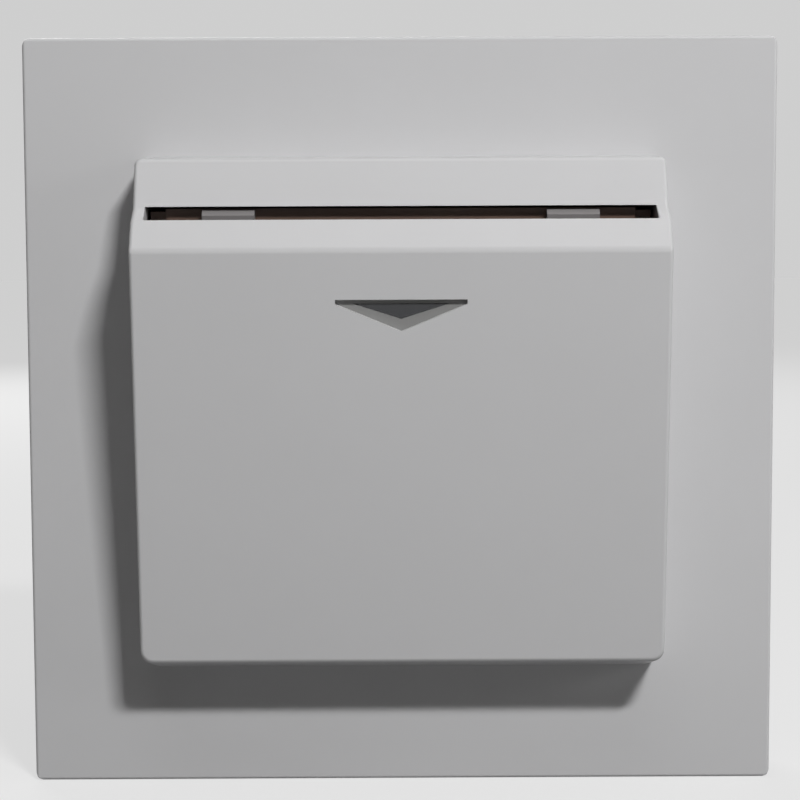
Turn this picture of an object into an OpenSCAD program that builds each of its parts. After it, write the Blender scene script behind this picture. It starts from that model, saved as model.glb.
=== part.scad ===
// Hotel key card switch: a wall switch that a room card works by sitting in its holder.
// X runs to the right, Y into the wall, Z up. The wall face is Y = 0, and the origin is the
// centre of the two wall screws. "Out" is the distance from the wall towards the room.

/* [Surround frame] */
// Side of the square frame
plate_size = 86; // [84:0.5:92]
// How far the frame's front stands off the wall
plate_depth = 9; // [8:0.25:11]
// Thickness of the frame's front and sides
plate_wall = 2; // [1.6:0.1:2.6]
// Radius of the frame's front edges and corners
plate_edge_r = 0.8; // [0.4:0.1:1.2]
// Gap between the frame's opening and the card holder
reveal = 0.1; // [0.1:0.05:0.4]
// Thickness of the sleeve round the opening
sleeve_wall = 1.5; // [1.2:0.1:1.8]

/* [Card] */
// Width of the card that the holder takes
card_width = 54; // [53:0.5:56]
// Play on each side of the card
card_play = 1.1; // [0.6:0.1:1.4]
// Depth of the space that the card slides in
card_gap = 2; // [1.8:0.1:2.4]

/* [Card holder] */
// Height of the holder where it passes the frame
holder_height = 59; // [58:0.25:60]
// Thickness of the side walls
side_wall = 1.4; // [1.2:0.1:1.8]
// Thickness of the front wall
front_wall = 2.6; // [2.2:0.1:2.8]
// Thickness of the top, the back plate and the floor
back_wall = 2; // [1.6:0.1:2.2]
// Rise of the back plate's top edge over the frame
back_rise = 6.7; // [6:0.1:7.5]
// Draft of the top face from the frame to the back plate's edge
top_draft = 0.45; // [0.1:0.05:0.6]
// Drop from the holder's top to the slot's upper edge
slot_inset = 5.8; // [5:0.1:6.5]
// Rise of the slot's upper edge over the frame
slot_rise = 8.7; // [8.4:0.1:9]
// Height of the slot's mouth
slot_gap = 1.5; // [1.2:0.1:1.8]
// Thickness left at the front wall's upper lip
lip = 0.3; // [0.2:0.05:0.5]
// Drop from the slot's upper edge to the ramp's lower edge
ramp_drop = 4.8; // [4:0.1:5.6]
// Rise of the ramp's lower edge over the frame
crest_rise = 13; // [12.6:0.1:13.4]
// Rise from the holder's bottom to the front face's lower edge
foot_inset = 2.1; // [1.6:0.1:2.6]
// Rise of the front face's lower edge over the frame
foot_rise = 8; // [7.8:0.1:8.4]
// Radius of the front face's side edges
face_edge_r = 0.8; // [0.4:0.1:1.2]
// Radius of the holder's four corners, seen from the front
holder_corner_r = 1.2; // [0.8:0.1:1.6]
// Width of each snap leg of the holder
holder_snap_width = 5; // [4:0.5:7]

/* [Arrow window] */
// Width of the arrow
arrow_width = 14.4; // [12:0.2:17]
// Height of the arrow
arrow_drop = 3.5; // [3:0.1:4.5]
// Drop from the ramp's lower edge to the arrow's top edge
arrow_inset = 5.4; // [4.6:0.1:6]
// Height of the arrow's blunt side tips
arrow_tip = 0.5; // [0.3:0.1:0.8]
// Depth of the arrow's recess
arrow_recess = 0.6; // [0.4:0.1:0.9]
// Width of the window in the recess
window_width = 10.6; // [9:0.2:12]
// Drop from the arrow's top edge to the window's top edge
window_inset = 0.5; // [0.3:0.1:0.7]
// Height of the window
window_drop = 1.7; // [1.4:0.1:2]

/* [Guide rails and deck] */
// Width of each rail
rail_width = 5.8; // [4:0.2:7]
// Distance between the rails' middles
rail_spacing = 38; // [34:0.5:42]
// Thickness of the rails
rail_thickness = 1.5; // [1.2:0.1:1.8]
// Gap between the deck's raised box and the holder's side walls
deck_gap = 2.1; // [1.6:0.1:2.6]
// Wall of the deck's box
deck_wall = 1.6; // [1.4:0.1:2]
// Thickness of the deck's flange on the yoke
flange_thickness = 2; // [2:0.1:2.4]
// How far the flange stands past the holder
flange_margin = 2.2; // [2:0.1:2.6]

/* [Mounting yoke] */
// How far the yoke's sides lie inside the frame's
yoke_side_inset = 5; // [4:0.25:5.5]
// How far the yoke's top and bottom lie inside the frame's
yoke_end_inset = 7; // [4:0.25:8]
// Thickness of the yoke's sheet
yoke_thickness = 1.2; // [1:0.1:1.4]
// Distance between the two wall screws
screw_pitch = 60.3; // [60:0.1:60.6]
// Width of the wall screws' slots
screw_slot_width = 4.4; // [4.2:0.1:4.6]
// Length of the wall screws' slots
screw_slot_length = 8; // [7:0.25:8]

/* [Rear housing] */
// Width of the housing
housing_width = 48; // [47:0.5:50]
// Height of the housing
housing_height = 46; // [45:0.5:50]
// Room between the relay and the housing's rear wall
relay_room = 1.5; // [0.5:0.25:4]
// Wall of the housing
housing_wall = 1.5; // [1.3:0.1:1.8]
// Radius of the housing's corners
housing_corner_r = 3; // [2:0.5:4]
// Distance of the housing's screws from its sides
housing_screw_inset = 4.5; // [4.3:0.1:5]
// Radius of the housing screws' shanks
housing_screw_r = 1.2; // [1:0.05:1.3]

/* [Circuit board] */
// Thickness of the board
board_thickness = 1.6; // [1.4:0.1:1.8]
// Depth of the board's front face behind the wall face
board_depth = 0.6; // [0.5:0.1:0.9]
// Radius of the indicator's dome
led_r = 1.5; // [1.2:0.1:1.6]
// Radius of the light pipe
pipe_r = 1.8; // [1.6:0.1:2]

/* [Microswitch] */
// Width of the switch case
switch_width = 12.8; // [12:0.2:14]
// Height of the switch case on the wall
switch_height = 5.8; // [5.4:0.1:6.4]
// Depth of the switch case off the board
switch_depth = 6.5; // [6:0.1:6.8]
// Width of the plunger
plunger_width = 3; // [2.4:0.1:3.6]
// Thickness of the plunger
plunger_thickness = 1.4; // [1.2:0.1:1.8]

/* [Card lever] */
// Height of the lever's pin over the centre
pin_height = 4; // [3.5:0.1:4.5]
// Room between the lever's bar and the deck's front
lever_room = 0.5; // [0.4:0.05:0.8]
// Radius of the lever's pin
pin_r = 0.75; // [0.6:0.05:0.8]
// Drop from the pin to the lever's nose
nose_arm = 17.5; // [16.5:0.25:18.5]
// Drop from the pin to the microswitch plunger
plunger_arm = 10; // [9.5:0.25:10.5]
// How far the nose stands into the card's space
nose_reach = 1.65; // [1.4:0.05:1.7]
// Thickness of the lever's bar
bar_thickness = 1.8; // [1.6:0.1:2]
// Width of the lever's bar
bar_width = 8; // [7:0.25:9]
// Width of the lever's nose
nose_width = 5; // [4:0.25:6]
// Wire radius of the lever's spring
spring_wire_r = 0.15; // [0.1:0.01:0.18]
// Turns of the lever's spring
spring_turns = 4; // [3:1:4]

/* [Terminals] */
// Number of wire terminals
terminal_count = 4; // [3:1:4]
// Radius of the wire holes in the brass clamps
wire_r = 1.6; // [1.4:0.1:1.7]
// Radius of the terminal screws' heads
terminal_head_r = 2.2; // [2:0.1:2.4]

/* [Hidden] */
$fn = 48;
// How far a cut runs past the face it opens
past = 1;
// Gap between pieces that snap or swing past each other
slip = 0.3;
// Gap round a piece that is pushed into its hole
snug = 0.02;
// Running gap round the lever's pin
running = 0.05;

// Holder and frame
holder_width = card_width + 2 * card_play + 2 * side_wall;
cavity_width = holder_width - 2 * side_wall;
holder_half = holder_height / 2;
slot_height = holder_half - slot_inset;
crest_height = slot_height - ramp_drop;
foot_drop = holder_half - foot_inset;
arrow_height = crest_height - arrow_inset;
opening = [holder_width + 2 * reveal, holder_height + 2 * reveal];
sleeve = opening + [2 * sleeve_wall, 2 * sleeve_wall];
skin_out = plate_depth - plate_wall;
flange_out = yoke_thickness + flange_thickness;
flange = [holder_width + 2 * flange_margin, holder_height + 2 * flange_margin];
holder_snap_spacing = 34;
frame_snap_spacing = 16;
frame_snap_width = 8;
snap_wall = 1.2;
snap_hook = 0.6;
snap_hook_depth = 0.6;
snap_floor = yoke_thickness + slip;
snap_play = 0.2;
snap_ledge = snap_floor + snap_hook_depth + snap_play;

// Front face and the planes behind it, by height over the centre
tilt = atan((crest_rise - foot_rise) / (crest_height + foot_drop));
crest_out = plate_depth + crest_rise;
function face_out(z) = crest_out - (crest_height - z) * tan(tilt);
function inner_out(z) = face_out(z) - front_wall / cos(tilt);
function rail_out(z) = inner_out(z) - card_gap / cos(tilt);
function deck_out(z) = rail_out(z) - rail_thickness / cos(tilt);
function deck_inner_out(z) = deck_out(z) - deck_wall / cos(tilt);
// Height along the card's plane of a point at this height, this far behind the rails' front
function on_plane(z, behind) = (z - behind * sin(tilt)) / cos(tilt);
face_front = -(card_gap + front_wall);

// Half the window's width where all its sides stand out by a gap
window_slant = atan(window_drop / (window_width / 2));
function window_half(gap) = window_width / 2 + gap * (1 + 1 / cos(window_slant)) / tan(window_slant);

// Slot, back plate and floor of the holder
lip_height = slot_height - slot_gap;
lip_out = inner_out(lip_height) + lip;
slot_out = plate_depth + slot_rise;
back_height = holder_half - top_draft;
back_tilt = atan((slot_rise - back_rise) / (back_height - slot_height));
floor_tilt = atan((holder_half - foot_drop) / foot_rise);
floor_height = -holder_half + back_wall / cos(floor_tilt);
floor_meets_face = (floor_height + (inner_out(0) - plate_depth) * tan(floor_tilt))
    / (1 - tan(tilt) * tan(floor_tilt));

// Deck and rails
deck_width = cavity_width - 2 * deck_gap;
deck_below_slot = 0.2;
deck_top = slot_height - deck_below_slot;
deck_floor_gap = 1.5;
deck_bottom = -(holder_half - back_wall - deck_floor_gap);
rail_chamfer = 0.5;
rail_below_deck = 0.3;
wing_step = 0.8;
wing_height = 9;
peg_r = 1.2;
peg_heights = [-15, 8];
// Room round a wall screw's head
screw_room = [10, 11];
screw_room_gap = 0.6;
screw_room_out = skin_out - screw_room_gap;

// Yoke and housing
yoke_width = plate_size - 2 * yoke_side_inset;
yoke_height = plate_size - 2 * yoke_end_inset;
yoke_opening_width = 35;
yoke_corner_r = 3;
screw_play = 0.2;
screw_hole_r = housing_screw_r + screw_play;
housing_post_r = 3.2;
well_r = 2.5;
well_floor = 5;
housing_head_r = 2.2;
housing_head = 1.5;
screw_reach = 7;
deck_post_r = 2.6;
housing_screw_x = housing_width - 2 * housing_screw_inset;
housing_screw_z = housing_height - 2 * housing_screw_inset;
housing_inside = [housing_width - 2 * housing_wall, housing_height - 2 * housing_wall];
ledge = 0.8;

// Circuit board and what stands on it
board_back = board_depth + board_thickness;
board = housing_inside - [2 * slip, 2 * slip];
board_front_out = -board_depth;
clamp_post_r = 1.3;
clamp_post_x = 12;
clamp_post_heights = [-13, 10];
pipe_height = arrow_height - arrow_drop / 2;
led_height = 5;
led_rim = 0.3;
led_rim_height = 1;
led_top = board_front_out + led_height;
led_room = 2.95;
clamp_post_room = 2.2;
yoke_opening_top = pipe_height + led_r + led_rim + led_room;
yoke_opening_bottom = clamp_post_heights[0] - clamp_post_r - clamp_post_room;
relay_size = [19, 15.5, 12.8];
film_size = [12, 5, 10];
can_r = 4;
can_length = 11.5;
resistor_r = 1.2;
resistor_length = 6.5;
diode_r = 1;
diode_length = 5;
diode_inset = 3.7;
diodes_x = board[0] / 2 - diode_inset;
diodes_at = [[diodes_x, 9], [diodes_x, 2]];
part_gap = 1;
film_x = diodes_x - diode_r - part_gap - film_size[0] / 2;
film_at = [film_x, 2.5];
can_inset = 9.2;
can_at = [film_x - part_gap, board[1] / 2 - can_inset];
chip_size = [4, 5, 1.5];
chip_at = [-11.5, -1];
housing_depth = board_back + relay_size[2] + relay_room + housing_wall;

// Lever, its spring and the microswitch
nose_height = pin_height - nose_arm;
nose_below = 3;
bar_bottom = nose_height - nose_below;
pin_out = deck_inner_out(bar_bottom) - lever_room - bar_thickness / 2;
plunger_height = pin_height - plunger_arm;
relay_gap = 2.3;
relay_x = film_x - (film_size[0] + relay_size[0]) / 2 - relay_gap;
relay_over_plunger = 1.75;
relay_at = [relay_x, plunger_height + relay_over_plunger + relay_size[1] / 2];
bar_front = pin_out + bar_thickness / 2;
bar_rear = pin_out - bar_thickness / 2;
nose_tip = 0.6;
nose_above = 5.5;
hub_r = 1.7;
knuckle = 1.8;
hub_gap = 0.1;
bar_top = pin_height - hub_r - hub_gap;
pad = 0.6;
pad_height = 2.4;
pad_width = 4;
ear_wall = 1.6;
ear_r = 2;
ear_inner = bar_width / 2 + slip;
touch = 0.12;
plunger_top = bar_rear - pad - touch;
plunger_length = 3.9;
plunger_play = 0.1;
switch_top = board_front_out + switch_depth;
plunger_below = 1.5;
plunger_room = plunger_top - plunger_length - plunger_below;
switch_pin = [0.6, 1];
switch_pin_spacing = 5;
resistor_gap = 0.95;
resistors_x = switch_pin_spacing + switch_pin[0] / 2 + resistor_gap + resistor_length / 2;
resistors_at = [[resistors_x, -2.5], [resistors_x, -6]];
solder_end = 1;
spring_bar_gap = 0.1;
spring_r = bar_thickness / 2 + spring_wire_r + spring_bar_gap;
spring_end_gap = 0.7;
spring_length = bar_width - 2 * knuckle - 2 * spring_end_gap;
spring_leg = 4.5;
wire_sides = 6;

// Terminals
terminal_block_width = housing_width - 2 * (housing_screw_inset + housing_post_r + slip);
terminal_end = 1;
terminal_pitch = (terminal_block_width - 2 * terminal_end) / terminal_count;
terminal_floor_gap = 0.2;
terminal_bottom = -(housing_inside[1] / 2 - ledge - terminal_floor_gap);
terminal_height = 11;
terminal_top = terminal_bottom + terminal_height;
terminal_proud = 0.6;
terminal_rear = housing_depth + terminal_proud;
clamp_size = [5.6, 6.5, 7];
clamp_rise = 5;
clamp_height = terminal_bottom + clamp_rise;
clamp_depth = 10.5;
clamp_tail = 1;
terminal_head = 1.6;
terminal_shank_r = 1.2;
terminal_head_gap = 0.6;
terminal_head_depth = clamp_depth + clamp_size[2] / 2 + terminal_head_gap;
terminal_well_r = terminal_head_r + screw_play;
screwdriver_slot = 0.6;
// Length of a cross recess, as a share of the head's radius
recess_share = 1.2;

// A front-view outline made into a slab between two distances from the wall
module slab(from_out, to_out) {
    translate([0, -from_out, 0]) rotate([90, 0, 0]) linear_extrude(to_out - from_out) children();
}

// A side-view outline of [-out, height] points made into a bar across the width
module across(width) {
    rotate([90, 0, 90]) linear_extrude(width, center = true) children();
}

// A side-view outline given as [out, height] points
module side_view(points) {
    polygon([for (p = points) [-p[0], p[1]]]);
}

module round_rect(size, r) {
    square([size[0] - 2 * r, size[1]], center = true);
    square([size[0], size[1] - 2 * r], center = true);
    for (x = [-1, 1], z = [-1, 1])
        translate([x * (size[0] / 2 - r), z * (size[1] / 2 - r)]) circle(r);
}

// The card's plane: here Y = 0 is the rails' front and Z runs up along the card
module on_card_plane() {
    translate([0, -rail_out(0), 0]) rotate([tilt, 0, 0]) children();
}

module both_sides() {
    children();
    mirror([1, 0, 0]) children();
}

module top_and_bottom() {
    children();
    mirror([0, 0, 1]) children();
}

module at_corners(spacing_x, spacing_z) {
    for (x = [-1, 1], z = [-1, 1]) translate([x * spacing_x / 2, z * spacing_z / 2]) children();
}

module both_sides_flat() {
    children();
    mirror([1, 0]) children();
}

// Room for the heads of the two wall screws, from the wall face outwards
module wall_screw_room() {
    slab(-past, screw_room_out) both_sides_flat()
        translate([screw_pitch / 2, 0]) square(screw_room, center = true);
}

// A snap leg at the top edge: it hangs from "root_out" and hooks under the flange, towards "hook_side"
module snap_leg(width, root_out, inner, hook_side) {
    hook_start = hook_side > 0 ? inner + snap_wall : inner - snap_hook - slip;
    hook_reach = hook_side > 0 ? snap_hook : snap_hook + slip;
    slab(snap_floor, root_out) translate([-width / 2, inner]) square([width, snap_wall]);
    slab(snap_floor, snap_floor + snap_hook_depth)
        translate([-width / 2, hook_start]) square([width, hook_reach]);
}

module at_snaps(spacing) {
    top_and_bottom() both_sides() translate([spacing / 2, 0, 0]) children();
}

// White moulded frame: a hollow tray whose sleeve stands on the deck's flange
module surround_frame() color("whitesmoke") {
    outer = [plate_size, plate_size];
    hollow = outer - [2 * plate_wall, 2 * plate_wall];
    difference() {
        soft_plate(outer, plate_depth, plate_edge_r);
        slab(-past, skin_out) difference() {
            square(hollow, center = true);
            square(sleeve, center = true);
        }
        slab(-past, flange_out) square(sleeve + [past, past], center = true);
        slab(-past, plate_depth + past) square(opening, center = true);
        wall_screw_room();
    }
    at_snaps(frame_snap_spacing) snap_leg(frame_snap_width, skin_out, flange[1] / 2 + slip, -1);
}

// A slab on the wall face whose front edges and corners are round
module soft_plate(size, depth, r) {
    slab(0, depth - r) round_rect(size, r);
    slab(0, depth) square(size - [2 * r, 2 * r], center = true);
    for (z = [-1, 1]) translate([0, r - depth, z * (size[1] / 2 - r)])
        rotate([0, 90, 0]) cylinder(h = size[0] - 2 * r, r = r, center = true);
    for (x = [-1, 1]) translate([x * (size[0] / 2 - r), r - depth, 0])
        cylinder(h = size[1] - 2 * r, r = r, center = true);
    for (x = [-1, 1], z = [-1, 1])
        translate([x * (size[0] / 2 - r), r - depth, z * (size[1] / 2 - r)]) sphere(r);
}

// A front-view outline on the card's plane made into a slab between two depths behind the rails' front
module plane_slab(from_depth, to_depth) {
    on_card_plane() translate([0, to_depth, 0]) rotate([90, 0, 0])
        linear_extrude(to_depth - from_depth) children();
}

// The arrow's outline, pointed downwards with blunt side tips
module arrow() {
    half = arrow_width / 2;
    top = on_plane(arrow_height, face_front);
    polygon([[-half, top], [half, top], [half, top - arrow_tip], [0, top - arrow_drop],
        [-half, top - arrow_tip]]);
}

// The window's outline in the arrow, with all its sides moved out by a gap
module window(gap) {
    top = on_plane(arrow_height, face_front) - window_inset;
    polygon([[-window_half(gap), top + gap], [window_half(gap), top + gap],
        [0, top - window_drop - gap / cos(window_slant)]]);
}

// The holder's front half-section: a wide bar on the card's plane with round front edges
module front_section() {
    r = face_edge_r;
    depth = crest_out + holder_height;
    on_card_plane() translate([0, 0, -holder_height]) linear_extrude(2 * holder_height) {
        translate([-holder_width / 2, face_front + r]) square([holder_width, depth]);
        translate([r - holder_width / 2, face_front]) square([holder_width - 2 * r, depth]);
        for (x = [-1, 1]) translate([x * (holder_width / 2 - r), face_front + r]) circle(r);
    }
}

// The holder seen from the front, with round upper corners
module top_section() {
    tall = 3 * holder_height;
    slab(flange_out - past, crest_out + past) translate([0, holder_half - tall / 2])
        round_rect([holder_width, tall], holder_corner_r);
}

// The holder seen along the slope of its floor, with round lower corners
module floor_section() {
    tall = 3 * holder_height;
    translate([0, -plate_depth, -holder_half]) rotate([90 - floor_tilt, 0, 0])
        linear_extrude(tall, center = true) translate([0, tall / 2])
        round_rect([holder_width, tall], holder_corner_r);
}

// White moulded holder: back plate, slot, ramp and the pocket that the card drops into
module card_holder() color("white") {
    // How far past the front face the raw block's edges run before the face is cut
    overrun = 1.8;
    foot_edge = [plate_depth, -holder_half] + overrun * [foot_rise, holder_half - foot_drop];
    crest_edge = [lip_out, lip_height] + overrun * [crest_out - lip_out, crest_height - lip_height];
    inner_top = holder_half - back_wall;
    back_inner = slot_out - back_wall / cos(back_tilt);
    mouth_out = crest_out + past;
    difference() {
        intersection() {
            across(holder_width) side_view([[flange_out, -holder_half], [plate_depth, -holder_half],
                foot_edge, crest_edge, [lip_out, lip_height], [slot_out, slot_height],
                [plate_depth + back_rise, back_height], [plate_depth, holder_half],
                [flange_out, holder_half]]);
            front_section();
            top_section();
            floor_section();
        }
        across(cavity_width) side_view([[flange_out - past, floor_height], [plate_depth, floor_height],
            [inner_out(floor_meets_face), floor_meets_face], [inner_out(lip_height), lip_height],
            [mouth_out, lip_height], [mouth_out, slot_height], [back_inner, slot_height],
            [back_inner - (inner_top - slot_height) * tan(back_tilt), inner_top],
            [flange_out - past, inner_top]]);
        plane_slab(face_front - past, face_front + arrow_recess) arrow();
        plane_slab(face_front + arrow_recess - snug, past - card_gap) window(snug);
        wall_screw_room();
    }
    at_snaps(holder_snap_spacing) snap_leg(holder_snap_width, flange_out, holder_half - snap_wall, 1);
}

// Smoked window at the bottom of the arrow's recess
module arrow_lens() color("dimgray") {
    plane_slab(face_front + arrow_recess, -card_gap) window(0);
}

// Two pale rails that the card's back slides on, pegged to the deck
module guide_rails() color("gainsboro") {
    low = on_plane(deck_bottom, 0);
    high = on_plane(deck_top - rail_below_deck, 0);
    on_card_plane() {
        for (x = [-1, 1]) translate([x * rail_spacing / 2, 0, 0]) {
            across(rail_width) polygon([[rail_chamfer, low], [rail_thickness, low], [rail_thickness, high],
                [rail_chamfer, high], [0, high - rail_chamfer], [0, low + rail_chamfer]]);
            for (z = peg_heights) translate([0, rail_thickness, z])
                rotate([-90, 0, 0]) cylinder(h = deck_wall, r = peg_r);
        }
    }
}

// Dark moulded deck: a flange on the yoke, and a box whose front is parallel to the card
module mechanism_deck() color("dimgray") {
    inner_bottom = deck_bottom + deck_wall;
    inner_top = deck_top - deck_wall;
    difference() {
        union() {
            deck_shell(inner_bottom, inner_top);
            deck_wings();
            intersection() {
                union() {
                    deck_posts();
                    both_sides() lever_ear();
                    spring_stop();
                }
                across(deck_width) side_view([[board_front_out, inner_bottom], [board_front_out, inner_top],
                    [deck_out(inner_top), inner_top], [deck_out(inner_bottom), inner_bottom]]);
            }
        }
        slab(yoke_thickness - past, yoke_thickness + screw_reach + slip)
            at_corners(housing_screw_x, housing_screw_z) circle(housing_screw_r + running);
        lever_axis() cylinder(h = deck_width / 2, r = pin_r + snug, center = true);
        slab(flange_out, crest_out) {
            translate([0, pipe_height]) circle(pipe_r + snug);
            translate([-nose_width / 2 - 2 * slip, nose_height - nose_below - past])
                square([nose_width + 4 * slip, nose_above + nose_below + past + slip]);
        }
        on_card_plane() for (x = [-1, 1], z = peg_heights) translate([x * rail_spacing / 2, 0, z])
            rotate([-90, 0, 0]) cylinder(h = 2 * (rail_thickness + deck_wall), r = peg_r + snug);
    }
}

// Narrow wings at the top of the deck's sides, set back from its front, that close the slot's ends
module deck_wings() {
    front = rail_thickness + wing_step;
    top = on_plane(deck_top, front) - slip;
    plane_slab(front, rail_thickness + deck_wall) both_sides_flat()
        translate([deck_width / 2 - past, top - wing_height]) square([deck_gap + past - slip, wing_height]);
}

// The deck without its posts: flange, box and the cuts for snap legs and wall screws
module deck_shell(inner_bottom, inner_top) {
    difference() {
        union() {
            slab(yoke_thickness, flange_out) round_rect(flange, plate_edge_r);
            across(deck_width) side_view([[yoke_thickness, deck_bottom], [yoke_thickness, deck_top],
                [deck_out(deck_top), deck_top], [deck_out(deck_bottom), deck_bottom]]);
        }
        across(deck_width - 2 * deck_wall) side_view([[yoke_thickness - past, inner_bottom],
            [yoke_thickness - past, inner_top], [deck_inner_out(inner_top), inner_top],
            [deck_inner_out(inner_bottom), inner_bottom]]);
        wall_screw_room();
        at_snaps(holder_snap_spacing)
            snap_room(holder_snap_width, holder_half - snap_wall, holder_half, snap_hook);
        at_snaps(frame_snap_spacing) slab(yoke_thickness - past, snap_ledge)
            translate([-frame_snap_width / 2 - slip, flange[1] / 2 - snap_hook - slip])
            square([frame_snap_width + 2 * slip, flange_margin]);
    }
}

// A hole for a snap leg, wider under the ledge that its hook catches
module snap_room(width, inner, outer, hook) {
    slab(yoke_thickness - past, flange_out + past) translate([-width / 2 - slip, inner - slip])
        square([width + 2 * slip, outer - inner + 2 * slip]);
    slab(yoke_thickness - past, snap_ledge) translate([-width / 2 - slip, inner - slip])
        square([width + 2 * slip, outer + hook - inner + 2 * slip]);
}

// Posts that take the housing's screws, and thinner ones that hold the board down
module deck_posts() {
    slab(yoke_thickness, crest_out) at_corners(housing_screw_x, housing_screw_z) circle(deck_post_r);
    slab(board_front_out, crest_out) for (x = [-1, 1], z = clamp_post_heights)
        translate([x * clamp_post_x, z]) circle(clamp_post_r);
}

module lever_axis() {
    translate([0, -pin_out, pin_height]) rotate([0, 90, 0]) children();
}

// One of the two ears that hold the lever's pin
module lever_ear() {
    translate([ear_inner + ear_wall / 2, 0, 0]) {
        lever_axis() cylinder(h = ear_wall, r = ear_r, center = true);
        across(ear_wall) side_view([[pin_out, pin_height - ear_r], [pin_out, pin_height + ear_r],
            [crest_out, pin_height + ear_r], [crest_out, pin_height - ear_r]]);
    }
}

// Rib that the spring's upper leg leans on
module spring_stop() {
    rib = 1.2;
    start = pin_out - spring_r + spring_wire_r + touch;
    translate([-spring_length / 2, 0, 0]) across(rib) side_view([[start, pin_height + spring_leg - rib],
        [start, pin_height + spring_leg], [crest_out, pin_height + spring_leg],
        [crest_out, pin_height + spring_leg - rib]]);
}

// Steel sheet that is screwed to the wall box
module mounting_yoke() color("silver") {
    slab(0, yoke_thickness) difference() {
        round_rect([yoke_width, yoke_height], yoke_corner_r);
        translate([0, (yoke_opening_top + yoke_opening_bottom) / 2])
            round_rect([yoke_opening_width, yoke_opening_top - yoke_opening_bottom], yoke_corner_r / 2);
        both_sides_flat() translate([screw_pitch / 2, 0])
            long_hole(screw_slot_length, screw_slot_width / 2);
        at_corners(housing_screw_x, housing_screw_z) circle(screw_hole_r);
    }
}

module long_hole(length, r) {
    for (x = [-1, 1]) translate([x * (length / 2 - r), 0]) circle(r);
    square([length - 2 * r, 2 * r], center = true);
}

// Where a terminal stands across the width
function terminal_x(i) = (i - (terminal_count - 1) / 2) * terminal_pitch;

module at_terminals() {
    for (i = [0 : terminal_count - 1]) translate([terminal_x(i), 0, 0]) children();
}

// Where the housing's four screws stand
module at_housing_screws() {
    for (x = [-1, 1], z = [-1, 1])
        translate([x * housing_screw_x / 2, 0, z * housing_screw_z / 2]) children();
}

// Dark box behind the wall face, with a well in each corner for its screw
module rear_housing() color("darkslategray") {
    deep = housing_inside - [2 * ledge, 2 * ledge];
    difference() {
        slab(-housing_depth, 0) round_rect([housing_width, housing_height], housing_corner_r);
        slab(-board_back, past) difference() {
            square(housing_inside, center = true);
            at_corners(housing_screw_x, housing_screw_z) circle(housing_post_r);
        }
        slab(housing_wall - housing_depth, -board_back + past) difference() {
            square(deep, center = true);
            at_corners(housing_screw_x, housing_screw_z) circle(housing_post_r);
        }
        at_housing_screws() slab(-housing_depth - past, past) circle(screw_hole_r);
        at_housing_screws() slab(-housing_depth - past, -well_floor) circle(well_r);
        slab(-housing_depth - past, housing_wall - housing_depth + past) terminal_outline(slip);
        at_terminals() translate([0, clamp_depth, -housing_height])
            cylinder(h = housing_height / 2, r = wire_r + slip);
    }
}

module housing_screws() color("silver") {
    at_housing_screws() {
        slab(-well_floor, yoke_thickness + screw_reach) circle(housing_screw_r);
        difference() {
            slab(-well_floor - housing_head, -well_floor) circle(housing_head_r);
            slab(-well_floor - housing_head - past, -well_floor - housing_head / 2)
                cross_recess(housing_head_r);
        }
    }
}

module cross_recess(head_r) {
    square([recess_share * head_r, screwdriver_slot], center = true);
    square([screwdriver_slot, recess_share * head_r], center = true);
}

// Board in the housing's mouth, notched round the housing's posts
module circuit_board() color("darkgreen") {
    notch = housing_post_r + slip;
    slab(-board_back, -board_depth) difference() {
        square(board, center = true);
        at_corners(housing_screw_x, housing_screw_z) square(2 * notch, center = true);
        at_corners(board[0], board[1]) square(2 * notch, center = true);
        at_switch_pins() square(switch_pin + [slip, slip], center = true);
        at_tails() square(clamp_tail + slip, center = true);
    }
}

module at_switch_pins() {
    for (i = [-1 : 1]) translate([i * switch_pin_spacing, plunger_height]) children();
}

module at_tails() {
    for (i = [0 : terminal_count - 1]) translate([terminal_x(i), clamp_height]) children();
}

module indicator_led() color("lightcyan") {
    translate([0, -board_front_out, pipe_height]) rotate([90, 0, 0]) {
        cylinder(h = led_rim_height, r = led_r + led_rim);
        cylinder(h = led_height - led_r, r = led_r);
        translate([0, 0, led_height - led_r]) sphere(led_r);
    }
}

module light_pipe() color("aliceblue") {
    slab(led_top + slip, rail_out(pipe_height - pipe_r)) translate([0, pipe_height]) circle(pipe_r);
}

module microswitch_case() color("black") {
    difference() {
        slab(board_front_out, switch_top) translate([0, plunger_height])
            square([switch_width, switch_height], center = true);
        slab(plunger_room, switch_top + past) translate([0, plunger_height])
            square([plunger_width, plunger_thickness] + 2 * [plunger_play, plunger_play], center = true);
    }
}

// Plunger with a round tip under the lever's pad
module microswitch_plunger() color("firebrick") {
    tip = plunger_thickness / 2;
    across(plunger_width) {
        translate([tip - plunger_top, plunger_height]) circle(tip);
        translate([tip - plunger_top, plunger_height - tip])
            square([plunger_length - tip, plunger_thickness]);
    }
}

module microswitch_terminals() color("gold") {
    slab(-board_back - solder_end, board_front_out) at_switch_pins() square(switch_pin, center = true);
}

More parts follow.
